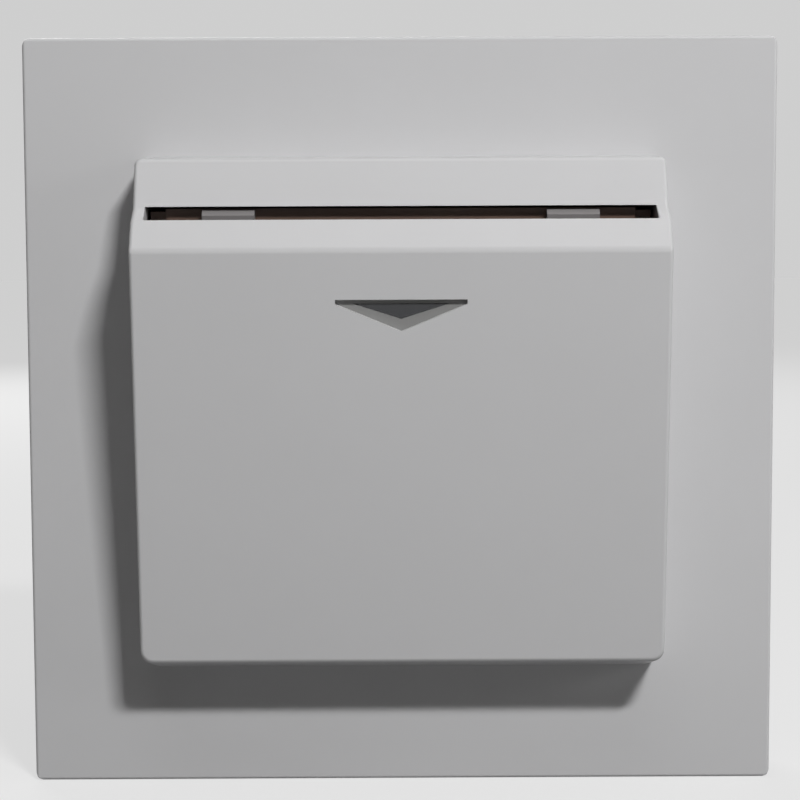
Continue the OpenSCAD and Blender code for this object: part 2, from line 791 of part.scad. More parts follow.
// Lever that the card pushes back: two knuckles on the pin, a bar, a nose and a pad for the plunger
module card_lever() color("ivory") {
    nose_out = rail_out(nose_height) + nose_reach;
    difference() {
        union() {
            across(bar_width) side_view([[bar_rear, bar_bottom], [bar_rear, bar_top],
                [bar_front, bar_top], [bar_front, bar_bottom]]);
            both_sides() translate([(bar_width - knuckle) / 2, 0, 0]) {
                lever_axis() cylinder(h = knuckle, r = hub_r, center = true);
                across(knuckle) side_view([[bar_rear, bar_top - past], [bar_rear, pin_height],
                    [bar_front, pin_height], [bar_front, bar_top - past]]);
            }
            across(nose_width) side_view([[pin_out, bar_bottom], [pin_out, nose_height + nose_above],
                [bar_front, nose_height + nose_above], [nose_out, nose_height + nose_tip],
                [nose_out, nose_height - nose_tip], [bar_front, bar_bottom]]);
            translate([0, 0, plunger_height]) across(pad_width) side_view([[bar_rear - pad, -pad_height / 2],
                [bar_rear - pad, pad_height / 2], [pin_out, pad_height / 2], [pin_out, -pad_height / 2]]);
        }
        lever_axis() cylinder(h = deck_width / 2, r = pin_r + running, center = true);
    }
}

module lever_pin() color("silver") {
    lever_axis() cylinder(h = 2 * (ear_inner + ear_wall), r = pin_r, center = true);
}

// Torsion spring round the pin: a leg up to the deck's rib, the turns, and a leg down behind the bar
ring_steps = 8;
spring_steps = spring_turns * ring_steps;
function spring_angle(i) = 180 + 360 * i / ring_steps;
function spring_turn(i) = [spring_length * (i / spring_steps - 0.5),
    -pin_out - spring_r * cos(spring_angle(i)), pin_height + spring_r * sin(spring_angle(i))];
spring_path = concat([spring_turn(0) + [0, 0, spring_leg]], [for (i = [0 : spring_steps]) spring_turn(i)],
    [spring_turn(spring_steps) - [0, 0, spring_leg]]);
spring_self_gap = min([for (i = [0 : spring_steps - ring_steps])
    norm(spring_turn(i) - spring_turn(i + ring_steps))]) - 2 * spring_wire_r;
echo(spring_self_gap = spring_self_gap, pin_out = pin_out);

module lever_spring() color("silver") {
    tube(spring_path, spring_wire_r, wire_sides);
}

function unit(v) = v / norm(v);
// The way a path runs at one of its points
function heading(path, i) = unit(path[min(i + 1, len(path) - 1)] - path[max(i - 1, 0)]);

// A tube along a path that never runs along X
module tube(path, r, sides) {
    last = len(path) - 1;
    rings = [for (i = [0 : last])
        let (t = heading(path, i), across_t = unit([1, 0, 0] - t[0] * t), third = cross(t, across_t))
        for (j = [0 : sides - 1]) let (angle = 360 * j / sides)
            path[i] + r * (cos(angle) * across_t + sin(angle) * third)];
    walls = [for (i = [0 : last - 1], j = [0 : sides - 1])
        let (a = i * sides + j, b = i * sides + (j + 1) % sides)
        each [[a, a + sides, b], [b, a + sides, b + sides]]];
    start_cap = [for (j = [1 : sides - 2]) [0, j, j + 1]];
    end_cap = [for (j = [1 : sides - 2]) [last * sides, last * sides + j + 1, last * sides + j]];
    polyhedron(points = rings, faces = concat(walls, start_cap, end_cap));
}

// A box that stands on the back of the board
module on_board_back(at, size) {
    slab(-board_back - size[2], -board_back) translate(at) square([size[0], size[1]], center = true);
}

module relay() color("royalblue") {
    on_board_back(relay_at, relay_size);
}

module film_capacitor() color("goldenrod") {
    on_board_back(film_at, film_size);
}

// Can capacitor with the pressed ring near its foot
module electrolytic_capacitor() color("midnightblue") {
    groove = 0.3;
    groove_height = 2;
    translate([can_at[0], board_back, can_at[1]]) rotate([-90, 0, 0]) difference() {
        cylinder(h = can_length, r = can_r);
        translate([0, 0, groove_height]) rotate_extrude() translate([can_r, 0]) circle(groove);
    }
}

module resistors() color("tan") {
    for (at = resistors_at) translate([at[0], board_back + resistor_r, at[1]])
        rotate([0, 90, 0]) cylinder(h = resistor_length, r = resistor_r, center = true);
}

module rectifier_diodes() color("black") {
    for (at = diodes_at) translate([at[0], board_back + diode_r, at[1]])
        cylinder(h = diode_length, r = diode_r, center = true);
}

module timer_chip() color("black") {
    slab(board_front_out, board_front_out + chip_size[2]) translate(chip_at)
        square([chip_size[0], chip_size[1]], center = true);
}

module terminal_outline(gap) {
    translate([0, (terminal_top + terminal_bottom) / 2])
        square([terminal_block_width + 2 * gap, terminal_top - terminal_bottom + 2 * gap], center = true);
}

// Moulding with a pocket, a wire hole and a screw well for each terminal
module terminal_block() color("whitesmoke") {
    difference() {
        slab(-terminal_rear, -board_back) terminal_outline(0);
        slab(-clamp_depth - clamp_size[2] / 2, -board_back + past) at_tails()
            square([clamp_size[0], clamp_size[1]] + [2 * snug, 2 * snug], center = true);
        slab(-terminal_rear - past, -clamp_depth) at_tails() circle(terminal_shank_r + slip);
        slab(-terminal_rear - past, -terminal_head_depth) at_tails() circle(terminal_well_r);
        at_terminals() translate([0, clamp_depth, terminal_bottom - past])
            cylinder(h = clamp_height - terminal_bottom + past, r = wire_r + slip);
    }
}

// Brass blocks with a wire hole up from below and a tail to the board
module terminal_clamps() color("goldenrod") {
    difference() {
        slab(-clamp_depth - clamp_size[2] / 2, clamp_size[2] / 2 - clamp_depth) at_tails()
            square([clamp_size[0], clamp_size[1]], center = true);
        at_terminals() translate([0, clamp_depth, clamp_height])
            cylinder(h = 2 * clamp_size[1], r = wire_r, center = true);
        slab(-terminal_rear, -clamp_depth) at_tails() circle(terminal_shank_r + running);
    }
    slab(clamp_size[2] / 2 - clamp_depth - snug, -board_depth) at_tails() square(clamp_tail, center = true);
}

module terminal_screws() color("silver") {
    slab(-terminal_head_depth, -clamp_depth - wire_r - slip) at_tails() circle(terminal_shank_r);
    difference() {
        slab(-terminal_head_depth - terminal_head, -terminal_head_depth) at_tails() circle(terminal_head_r);
        slab(-terminal_head_depth - terminal_head - past, -terminal_head_depth - terminal_head / 2)
            at_tails() square([2 * (terminal_head_r + past), screwdriver_slot], center = true);
    }
}

surround_frame();
card_holder();
arrow_lens();
guide_rails();
mechanism_deck();
mounting_yoke();
rear_housing();
housing_screws();
circuit_board();
indicator_led();
light_pipe();
microswitch_case();
microswitch_plunger();
microswitch_terminals();
card_lever();
lever_pin();
lever_spring();
relay();
film_capacitor();
electrolytic_capacitor();
resistors();
rectifier_diodes();
timer_chip();
terminal_block();
terminal_clamps();
terminal_screws();
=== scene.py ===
import math
import bmesh
import bpy
from mathutils import Matrix, Vector


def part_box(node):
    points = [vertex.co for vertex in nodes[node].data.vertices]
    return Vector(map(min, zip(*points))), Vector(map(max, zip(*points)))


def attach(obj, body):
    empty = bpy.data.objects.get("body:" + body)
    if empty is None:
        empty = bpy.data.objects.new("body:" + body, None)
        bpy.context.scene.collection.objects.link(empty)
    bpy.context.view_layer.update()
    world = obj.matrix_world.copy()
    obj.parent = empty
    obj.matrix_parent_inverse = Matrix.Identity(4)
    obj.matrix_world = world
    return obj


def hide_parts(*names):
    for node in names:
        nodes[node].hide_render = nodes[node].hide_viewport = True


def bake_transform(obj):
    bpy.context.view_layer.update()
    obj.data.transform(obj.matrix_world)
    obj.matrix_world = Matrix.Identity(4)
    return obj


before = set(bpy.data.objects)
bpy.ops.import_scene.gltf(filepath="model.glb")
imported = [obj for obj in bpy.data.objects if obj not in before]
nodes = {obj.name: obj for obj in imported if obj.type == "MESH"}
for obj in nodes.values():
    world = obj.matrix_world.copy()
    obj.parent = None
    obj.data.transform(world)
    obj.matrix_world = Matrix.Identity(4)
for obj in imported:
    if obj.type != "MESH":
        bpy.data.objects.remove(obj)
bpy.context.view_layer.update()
bpy.context.scene.view_settings.view_transform = "Standard"


# Mounting yoke
# A blanked sheet of zinc-plated steel, 1.2 mm thick, that two screws hold on the wall box. The press
# leaves its edges slightly broken, and the plating shows a fine rolling grain with a faint spangle.
mm = 0.001
yoke_edge = 0.12 * mm
edge_segments = 3
merge_distance = 0.001 * mm
sliver = 0.002 * mm
flat_angle = math.radians(1)     # faces that turn less than this become one
sharp_angle = math.radians(40)   # edges that turn more than this get a radius
smooth_angle = math.radians(38)  # edges that turn less than this are shaded smooth
zinc_colour = (0.50, 0.51, 0.52, 1)
zinc_shade = (0.40, 0.41, 0.43, 1)
streak_stretch = (1, 1, 0.06)
noise_middle = 0.5
mix_share, mix_first, mix_second, mix_result = 0, 6, 7, 2  # sockets of a Mix node for colours


def select_only(piece):
    """Makes one piece the only selected one, and the active one."""
    bpy.ops.object.select_all(action="DESELECT")
    piece.select_set(True)
    bpy.context.view_layer.objects.active = piece


def edit(piece):
    """Starts edit mode on one piece, with its whole mesh selected."""
    select_only(piece)
    bpy.ops.object.mode_set(mode="EDIT")
    bpy.ops.mesh.select_all(action="SELECT")


def finish_edit():
    """Ends edit mode."""
    bpy.ops.object.mode_set(mode="OBJECT")


def smooth_finish(piece):
    """Smooth shading that keeps flat faces flat beside their rounded edges."""
    select_only(piece)
    bpy.ops.mesh.customdata_custom_splitnormals_clear()
    bpy.ops.object.shade_smooth_by_angle(angle=smooth_angle)
    evening = piece.modifiers.new("flat_faces", "WEIGHTED_NORMAL")
    evening.keep_sharp = True
    bpy.ops.object.modifier_apply(modifier=evening.name)


def drop_slivers(piece):
    """Removes the faces and edges that a rounding has squeezed to nothing."""
    edit(piece)
    bpy.ops.mesh.dissolve_degenerate(threshold=sliver)
    finish_edit()


def soften(node, name, edge_radius, body="root"):
    """A merged copy of a node, with a small radius on its sharp edges, that stands for the node."""
    piece = bpy.data.objects.new(name, nodes[node].data.copy())
    bpy.context.collection.objects.link(piece)
    edit(piece)
    bpy.ops.mesh.remove_doubles(threshold=merge_distance)
    bpy.ops.mesh.dissolve_limited(angle_limit=flat_angle)
    finish_edit()
    rounding = piece.modifiers.new("edge_radius", "BEVEL")
    rounding.width = edge_radius
    rounding.segments = edge_segments
    rounding.limit_method = "ANGLE"
    rounding.angle_limit = sharp_angle
    bpy.ops.object.modifier_apply(modifier=rounding.name)
    drop_slivers(piece)
    smooth_finish(piece)
    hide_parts(node)
    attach(piece, body)
    return piece


def start_surface(name, colour, shade, pattern, scale, roughness):
    """Starts a finish's node group. Gives the group, the values it takes in and the place on the piece."""
    group = bpy.data.node_groups.new(name, "ShaderNodeTree")
    inputs = (("Colour", "NodeSocketColor", colour), ("Shade", "NodeSocketColor", shade),
              (pattern, "NodeSocketFloat", scale), ("Roughness", "NodeSocketFloat", roughness))
    for label, kind, value in inputs:
        socket = group.interface.new_socket(label, in_out="INPUT", socket_type=kind)
        socket.default_value = value
    outputs = (("Colour", "NodeSocketColor"), ("Roughness", "NodeSocketFloat"), ("Height", "NodeSocketFloat"))
    for label, kind in outputs:
        group.interface.new_socket(label, in_out="OUTPUT", socket_type=kind)
    taken = group.nodes.new("NodeGroupInput").outputs
    place = group.nodes.new("ShaderNodeTexCoord").outputs["Object"]
    return group, taken, place


def end_surface(group, colour, roughness, height):
    """Puts a finish's colour, roughness and height out of its node group."""
    given = group.nodes.new("NodeGroupOutput").inputs
    for label, result in (("Colour", colour), ("Roughness", roughness), ("Height", height)):
        group.links.new(result, given[label])
    return group


def noise(tree, place, scale, detail):
    """A noise on the given coordinates. The scale is a number or a socket, in features per metre."""
    texture = tree.nodes.new("ShaderNodeTexNoise")
    texture.inputs["Detail"].default_value = detail
    tree.links.new(place, texture.inputs["Vector"])
    if isinstance(scale, bpy.types.NodeSocket):
        tree.links.new(scale, texture.inputs["Scale"])
    else:
        texture.inputs["Scale"].default_value = scale
    return texture.outputs[0]


def mixed(tree, share, first, second):
    """A colour between two colour sockets."""
    mix = tree.nodes.new("ShaderNodeMix")
    mix.data_type = "RGBA"
    tree.links.new(share, mix.inputs[mix_share])
    tree.links.new(first, mix.inputs[mix_first])
    tree.links.new(second, mix.inputs[mix_second])
    return mix.outputs[mix_result]


def spread(tree, value, middle, width):
    """A noise value turned into a number that varies by a share of its middle value."""
    off_middle = tree.nodes.new("ShaderNodeMath")
    off_middle.operation = "SUBTRACT"
    off_middle.inputs[1].default_value = noise_middle
    tree.links.new(value, off_middle.inputs[0])
    scaled = tree.nodes.new("ShaderNodeMath")
    scaled.operation = "MULTIPLY_ADD"
    scaled.inputs[1].default_value = width
    scaled.inputs[2].default_value = 1
    tree.links.new(off_middle.outputs[0], scaled.inputs[0])
    product = tree.nodes.new("ShaderNodeMath")
    product.operation = "MULTIPLY"
    tree.links.new(scaled.outputs[0], product.inputs[0])
    tree.links.new(middle, product.inputs[1])
    return product.outputs[0]


def rolled_metal_group():
    """Metal that was rolled or drawn along Z: a cloudy tone, long fine streaks and a low relief."""
    group, taken, place = start_surface("rolled_metal", zinc_colour, zinc_shade,
                                        "Streaks", scale=3000, roughness=0.35)
    stretch = group.nodes.new("ShaderNodeMapping")
    stretch.inputs["Scale"].default_value = streak_stretch
    group.links.new(place, stretch.inputs["Vector"])
    cloud = noise(group, place, scale=160, detail=4)
    streak = noise(group, stretch.outputs[0], scale=taken["Streaks"], detail=3)
    tone = mixed(group, cloud, taken["Colour"], taken["Shade"])
    return end_surface(group, tone, spread(group, streak, taken["Roughness"], width=0.9), streak)


def finish(name, group, values, relief, shader_values):
    """A material whose colour, roughness and relief come from a group's values."""
    material = bpy.data.materials.new(name)
    material.use_nodes = True
    tree = material.node_tree
    shader = tree.nodes["Principled BSDF"]
    for label, value in shader_values.items():
        shader.inputs[label].default_value = value
    surface = tree.nodes.new("ShaderNodeGroup")
    surface.node_tree = group
    for label, value in values.items():
        surface.inputs[label].default_value = value
    bump = tree.nodes.new("ShaderNodeBump")
    bump.inputs["Distance"].default_value = relief
    tree.links.new(surface.outputs["Colour"], shader.inputs["Base Color"])
    tree.links.new(surface.outputs["Roughness"], shader.inputs["Roughness"])
    tree.links.new(surface.outputs["Height"], bump.inputs["Height"])
    tree.links.new(bump.outputs["Normal"], shader.inputs["Normal"])
    return material


def dress(piece, material):
    """Gives a piece its material."""
    piece.data.materials.clear()
    piece.data.materials.append(material)


rolled_metal = rolled_metal_group()
zinc = finish("zinc_plating", rolled_metal,
              {"Colour": zinc_colour, "Shade": zinc_shade, "Streaks": 4000, "Roughness": 0.38},
              relief=0.002 * mm, shader_values={"Metallic": 1})
yoke = soften("mounting_yoke", "yoke_sheet", yoke_edge)
dress(yoke, zinc)


# Rear housing
# The dark grey moulded box that goes into the wall box, with a fine spark-eroded grain. Four screws in deep
# wells pull it, the yoke and the deck together. Its back has blind vent grooves and a wire-stripping gauge.
housing_edge = 0.25 * mm
housing_colour = (0.060, 0.064, 0.070, 1)
housing_shade = (0.046, 0.049, 0.055, 1)
most_corners = 4  # faces with more corners are split before the grooves are cut
groove_depth = 0.8 * mm
vent_count = 8
vent_pitch = 3.6 * mm
vent_half = Vector((0.6, 0, 5.5)) * mm
vent_height = 9 * mm
gauge_half = Vector((5, 0, 0.5)) * mm
gauge_end_half = Vector((0.4, 0, 1.4)) * mm
gauge_height = -3.5 * mm


def moulded_plastic_group():
    """Moulded plastic: a faint cloud in its colour, an uneven gloss and a fine grain."""
    group, taken, place = start_surface("moulded_plastic", housing_colour, housing_shade,
                                        "Grain", scale=3000, roughness=0.4)
    cloud = noise(group, place, scale=70, detail=3)
    gloss = noise(group, place, scale=420, detail=5)
    grain = noise(group, place, scale=taken["Grain"], detail=2)
    tone = mixed(group, cloud, taken["Colour"], taken["Shade"])
    return end_surface(group, tone, spread(group, gloss, taken["Roughness"], width=0.7), grain)


def add_block(name, low, high):
    """A cube primitive made to the size and place of a box, with its place in its mesh."""
    bpy.ops.object.select_all(action="DESELECT")
    low = Vector(low)
    high = Vector(high)
    bpy.ops.mesh.primitive_cube_add(size=1, location=(low + high) / 2)
    piece = bpy.context.active_object
    piece.name = name
    piece.data.name = name
    piece.scale = high - low
    bpy.ops.object.transform_apply(location=True, rotation=True, scale=True)
    return piece


def combine(piece, other, operation):
    """Cuts another solid out of a piece, or joins it on, and removes the other solid."""
    select_only(piece)
    step = piece.modifiers.new("combine", "BOOLEAN")
    step.operation = operation
    step.solver = "EXACT"
    step.object = other
    bpy.ops.object.modifier_apply(modifier=step.name)
    bpy.data.objects.remove(other)


def sink_groove(piece, middle, half):
    """Sinks a shallow groove into the back of a piece."""
    reach = Vector((0, groove_depth, 0))
    groove = add_block("back_groove", middle - half - reach, middle + half + reach)
    combine(piece, groove, "DIFFERENCE")


moulded_plastic = moulded_plastic_group()
housing_plastic = finish("housing_plastic", moulded_plastic,
                         {"Colour": housing_colour, "Shade": housing_shade, "Grain": 3200, "Roughness": 0.5},
                         relief=0.012 * mm, shader_values={"Specular IOR Level": 0.45})
housing = soften("rear_housing", "housing_box", housing_edge)
splitting = housing.modifiers.new("split_faces", "TRIANGULATE")
splitting.min_vertices = most_corners + 1
bpy.ops.object.modifier_apply(modifier=splitting.name)
housing_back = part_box("rear_housing")[1].y
for number in range(vent_count):
    vent_side = (number - (vent_count - 1) / 2) * vent_pitch
    sink_groove(housing, Vector((vent_side, housing_back, vent_height)), vent_half)
sink_groove(housing, Vector((0, housing_back, gauge_height)), gauge_half)
for side in (-1, 1):
    sink_groove(housing, Vector((side * gauge_half.x, housing_back, gauge_height)), gauge_end_half)
smooth_finish(housing)
dress(housing, housing_plastic)


# Housing screws
# Four small cross-headed steel screws, plated like the yoke. They stand in the housing's wells, go through
# the yoke and cut their own thread in the deck's posts.
screw_colour = (0.56, 0.56, 0.55, 1)
screw_shade = (0.42, 0.42, 0.42, 1)
screw_edge = 0.08 * mm
screw_steel = finish("screw_steel", rolled_metal,
                     {"Colour": screw_colour, "Shade": screw_shade, "Streaks": 9000, "Roughness": 0.3},
                     relief=0.001 * mm, shader_values={"Metallic": 1})
housing_screws = soften("housing_screws", "housing_screw_set", screw_edge)
dress(housing_screws, screw_steel)


# Circuit board
# Green glass-fibre laminate in the housing's mouth. Under the varnish the weave and the copper areas
# show as a slightly lighter green.
board_green = (0.012, 0.085, 0.032, 1)
board_copper_green = (0.022, 0.13, 0.05, 1)
copper_scale = 140
copper_limits = (0.38, 0.42)


def laminate_group():
    """Varnished laminate: lighter patches where copper lies under the varnish, and a fine weave."""
    group, taken, place = start_surface("varnished_laminate", board_green, board_copper_green,
                                        "Weave", scale=1600, roughness=0.3)
    copper = group.nodes.new("ShaderNodeTexVoronoi")
    copper.distance = "CHEBYCHEV"
    copper.inputs["Scale"].default_value = copper_scale
    group.links.new(place, copper.inputs["Vector"])
    tracks = group.nodes.new("ShaderNodeValToRGB")
    for stop, limit in zip(tracks.color_ramp.elements, copper_limits):
        stop.position = limit
    group.links.new(copper.outputs["Distance"], tracks.inputs[0])
    weave = group.nodes.new("ShaderNodeTexChecker")
    group.links.new(place, weave.inputs["Vector"])
    group.links.new(taken["Weave"], weave.inputs["Scale"])
    gloss = noise(group, place, scale=300, detail=3)
    tone = mixed(group, tracks.outputs[0], taken["Shade"], taken["Colour"])
    uneven_gloss = spread(group, gloss, taken["Roughness"], width=0.5)
    return end_surface(group, tone, uneven_gloss, weave.outputs["Fac"])


varnished_laminate = laminate_group()
board_finish = finish("board_laminate", varnished_laminate,
                      {"Colour": board_green, "Shade": board_copper_green, "Roughness": 0.3},
                      relief=0.004 * mm, shader_values={"Coat Weight": 0.3, "Coat Roughness": 0.15})
dress(nodes["circuit_board"], board_finish)


# Parts on the board
# The relay, capacitors, resistors, diodes and timer chip are cast or moulded bodies soldered flat on the
# board. Each kind has its usual body colour and its own gloss.
part_edge = 0.12 * mm
part_kinds = (
    ("relay", "relay_body", "relay_blue",
     ("relay_case", (0.022, 0.075, 0.32, 1), (0.018, 0.062, 0.27, 1), 0.34)),
    ("film_capacitor", "film_capacitor_body", "film_yellow",
     ("film_box", (0.58, 0.37, 0.035, 1), (0.50, 0.31, 0.03, 1), 0.42)),
    ("electrolytic_capacitor", "can_capacitor_body", "can_sleeve",
     ("can_sleeve_film", (0.014, 0.02, 0.07, 1), (0.01, 0.015, 0.055, 1), 0.25)),
    ("resistors", "resistor_set", "resistor_tan",
     ("resistor_lacquer", (0.46, 0.30, 0.15, 1), (0.39, 0.245, 0.12, 1), 0.38)),
    ("rectifier_diodes", "diode_set", "switch_black",
     ("diode_epoxy", (0.012, 0.012, 0.013, 1), (0.02, 0.02, 0.021, 1), 0.45)),
    ("timer_chip", "timer_chip_body", "switch_black",
     ("chip_epoxy", (0.013, 0.013, 0.014, 1), (0.02, 0.02, 0.021, 1), 0.55)),
)
for node, piece_name, slot_name, (finish_name, colour, shade, roughness) in part_kinds:
    body_finish = finish(finish_name, moulded_plastic,
                         {"Colour": colour, "Shade": shade, "Grain": 5000, "Roughness": roughness},
                         relief=0.004 * mm, shader_values={"Specular IOR Level": 0.5})
    dress(soften(node, piece_name, part_edge), body_finish)


# Indicator and light pipe
# The indicator is a small dome of clear epoxy, and the light pipe a rod of clear acrylic pushed into the
# deck behind the arrow window. The indicator is off while no card is in.
led_edge = 0.05 * mm
led_finish = finish("led_epoxy", moulded_plastic,
                    {"Colour": (0.80, 0.86, 0.88, 1), "Shade": (0.74, 0.81, 0.84, 1), "Grain": 6000,
                     "Roughness": 0.12},
                    relief=0.001 * mm, shader_values={"Transmission Weight": 0.6, "IOR": 1.52})
pipe_finish = finish("clear_acrylic", moulded_plastic,
                     {"Colour": (0.88, 0.91, 0.92, 1), "Shade": (0.84, 0.88, 0.89, 1), "Grain": 5000,
                      "Roughness": 0.1},
                     relief=0.001 * mm, shader_values={"Transmission Weight": 0.85, "IOR": 1.49})
led = soften("indicator_led", "led_dome", led_edge)
dress(led, led_finish)
dress(nodes["light_pipe"], pipe_finish)


# Microswitch
# A black moulded case on the board with a red plunger and three brass pins, which are soldered through the
# board. The lever presses the plunger in.
switch_finish = finish("switch_case_plastic", moulded_plastic,
                       {"Colour": (0.014, 0.014, 0.015, 1), "Shade": (0.02, 0.02, 0.021, 1), "Grain": 4200,
                        "Roughness": 0.45},
                       relief=0.006 * mm, shader_values={"Specular IOR Level": 0.5})
plunger_finish = finish("plunger_plastic", moulded_plastic,
                        {"Colour": (0.42, 0.03, 0.022, 1), "Shade": (0.35, 0.024, 0.018, 1), "Grain": 4200,
                         "Roughness": 0.36},
                        relief=0.003 * mm, shader_values={"Specular IOR Level": 0.5})
brass = finish("brass", rolled_metal,
               {"Colour": (0.66, 0.45, 0.16, 1), "Shade": (0.55, 0.36, 0.12, 1), "Streaks": 6000,
                "Roughness": 0.32},
               relief=0.001 * mm, shader_values={"Metallic": 1})
switch_case = soften("microswitch_case", "switch_case", part_edge)
dress(switch_case, switch_finish)
plunger = soften("microswitch_plunger", "switch_plunger", part_edge, body="plunger")
dress(plunger, plunger_finish)
dress(nodes["microswitch_terminals"], brass)


# Wire terminals
# A pale moulded block in the housing's rear wall with four brass clamps inside. A slotted steel screw in
# each well pinches the wire that comes in from below.
terminal_edge = 0.15 * mm
terminal_finish = finish("terminal_plastic", moulded_plastic,
                         {"Colour": (0.62, 0.61, 0.57, 1), "Shade": (0.56, 0.55, 0.51, 1), "Grain": 3600,
                          "Roughness": 0.46},
                         relief=0.006 * mm, shader_values={"Specular IOR Level": 0.5})
terminal_block = soften("terminal_block", "terminal_moulding", terminal_edge)
dress(terminal_block, terminal_finish)
terminal_screws = soften("terminal_screws", "terminal_screw_set", screw_edge)
dress(terminal_screws, screw_steel)
dress(nodes["terminal_clamps"], brass)


# Mechanism deck
# The moulding behind the card: a flange on the yoke and a hollow box that carries the lever and the rails.
# Its front face shows through the slot. Its dark brown colour is painted shade, the dark warm shade in the
# slot.
# The deck's two colours below are painted shade: dark and warm brown like the shade inside the slot.
deck_painted_shade_colour = (0.155, 0.105, 0.083, 1)
deck_painted_shade_tone = (0.130, 0.088, 0.070, 1)
deck_edge = 0.15 * mm
deck_shade_finish = finish("deck_plastic_painted_shade", moulded_plastic,
                     {"Colour": deck_painted_shade_colour, "Shade": deck_painted_shade_tone, "Grain": 3400, "Roughness": 0.5},
                     relief=0.008 * mm, shader_values={"Specular IOR Level": 0.4})
deck = soften("mechanism_deck", "deck_moulding", deck_edge)
dress(deck, deck_shade_finish)


# Guide rails
# Two pale grey nylon rails pegged to the deck, on which the card's back slides. Their finish is a darker grey
# than the nylon: painted shade for the shade at the slot on their upper ends, which are what shows at the
# slot.
rail_edge = 0.15 * mm
# The rails' grey below is painted shade, darker than the nylon, for the shade at the slot.
rail_shade_finish = finish("rail_nylon_painted_shade", moulded_plastic,
                     {"Colour": (0.21, 0.20, 0.20, 1), "Shade": (0.18, 0.17, 0.17, 1), "Grain": 2600,
                      "Roughness": 0.42},
                     relief=0.005 * mm, shader_values={"Specular IOR Level": 0.5})
rails = soften("guide_rails", "rail_pair", rail_edge)
dress(rails, rail_shade_finish)


# Card lever
# An ivory acetal lever that swings on a steel pin in the deck. A wound spring of bright steel wire
# keeps its nose in the card's way.
lever_edge = 0.1 * mm
spring_radius = 1.13 * mm
spring_wire_radius = 0.15 * mm
spring_turns = 4
spring_length = 3 * mm
spring_leg = 4.5 * mm
spring_wire_sides = 10
spring_turn_steps = 24


def pick(piece, kind, wanted):
    """In edit mode, selects only the corners, edges or faces that a test wants."""
    bpy.ops.mesh.select_mode(type=kind)
    bpy.ops.mesh.select_all(action="DESELECT")
    shape = bmesh.from_edit_mesh(piece.data)
    parts = {"VERT": shape.verts, "EDGE": shape.edges, "FACE": shape.faces}[kind]
    for part in parts:
        if wanted(part):
            part.select_set(True)
    shape.select_flush_mode()
    bmesh.update_edit_mesh(piece.data)


def on_wire_end(edge, side):
    """True on the open end of the spring's wire that lies nearer to a side."""
    return edge.is_boundary and abs(edge.verts[0].co.x - side) < spring_length / 2


lever_finish = finish("lever_acetal", moulded_plastic,
                      {"Colour": (0.68, 0.63, 0.50, 1), "Shade": (0.61, 0.56, 0.44, 1), "Grain": 3600,
                       "Roughness": 0.34},
                      relief=0.004 * mm, shader_values={"Specular IOR Level": 0.5})
spring_steel = finish("spring_wire", rolled_metal,
                      {"Colour": (0.52, 0.53, 0.54, 1), "Shade": (0.40, 0.41, 0.43, 1), "Streaks": 12000,
                       "Roughness": 0.25},
                      relief=0.0005 * mm, shader_values={"Metallic": 1})
lever = soften("card_lever", "lever_moulding", lever_edge, body="lever")
dress(lever, lever_finish)
dress(nodes["lever_pin"], screw_steel)
pin_low, pin_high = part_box("lever_pin")
spring_start = (pin_low + pin_high) / 2 - Vector((spring_length / 2, 0, 0))
bpy.ops.object.select_all(action="DESELECT")
bpy.ops.mesh.primitive_circle_add(vertices=spring_wire_sides, radius=spring_wire_radius,
                                  location=(0, spring_radius, 0))
spring = bpy.context.active_object
spring.name = "lever_coil"
spring.data.name = "lever_coil"
bpy.ops.object.transform_apply(location=True, rotation=True, scale=True)
winding = spring.modifiers.new("winding", "SCREW")
winding.axis = "X"
winding.angle = -2 * math.pi
winding.screw_offset = spring_length / spring_turns
winding.iterations = spring_turns
winding.steps = spring_turn_steps
winding.render_steps = spring_turn_steps
bpy.ops.object.modifier_apply(modifier=winding.name)
edit(spring)
for leg_side, leg in ((0, spring_leg), (spring_length, -spring_leg)):
    pick(spring, "EDGE", lambda edge: on_wire_end(edge, leg_side))
    bpy.ops.mesh.extrude_region_move(TRANSFORM_OT_translate={"value": (0, 0, leg)})
    bpy.ops.mesh.edge_face_add()
bpy.ops.mesh.select_all(action="SELECT")
bpy.ops.mesh.normals_make_consistent(inside=False)
finish_edit()
spring.location = spring_start
bpy.ops.object.transform_apply(location=True, rotation=True, scale=True)
smooth_finish(spring)
dress(spring, spring_steel)
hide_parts("lever_spring")
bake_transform(spring)


# Surround frame
# The square white cover plate, moulded in satin plastic with soft front edges. It stands on the wall as a
# hollow tray and hooks under the deck's flange with four legs.
white_colour = (0.602, 0.601, 0.609, 1)
white_shade = (0.580, 0.579, 0.586, 1)
plate_wall = 2 * mm
plate_hollow = 7 * mm
opening_half = 29.49 * mm
sleeve_wall = 1.5 * mm
sleeve_depth = 3.8 * mm
corner_radius = 1.4 * mm
corner_segments = 6
upper_corner_share = 0.57
plate_corner_share = 0.7
plate_rim_share = 0.28
screw_room_middle = 30.15 * mm
screw_room_half = Vector((5, 0, 5.5)) * mm
screw_room_out = 6.4 * mm
frame_leg_middle = 8 * mm
frame_leg_half = 4 * mm
frame_leg_inside = 32.0 * mm
leg_foot_out = 1.5 * mm
leg_wall = 1.2 * mm
hook_depth = 0.6 * mm
frame_hook = 0.9 * mm
leg_root = 0.5 * mm
hair = 0.01 * mm
facing_limit = 0.9  # a face whose normal has this much of a direction faces that way


def ends(edge):
    """The places of an edge's two ends."""
    return [corner.co for corner in edge.verts]


def near(value, target):
    """True where two lengths are the same but for a hair."""
    return abs(value - target) < hair


def round_share(piece, share, wanted):
    """In edit mode, gives the wanted edges a share of the piece's rounding."""
    pick(piece, "EDGE", wanted)
    bpy.ops.transform.edge_bevelweight(value=share)


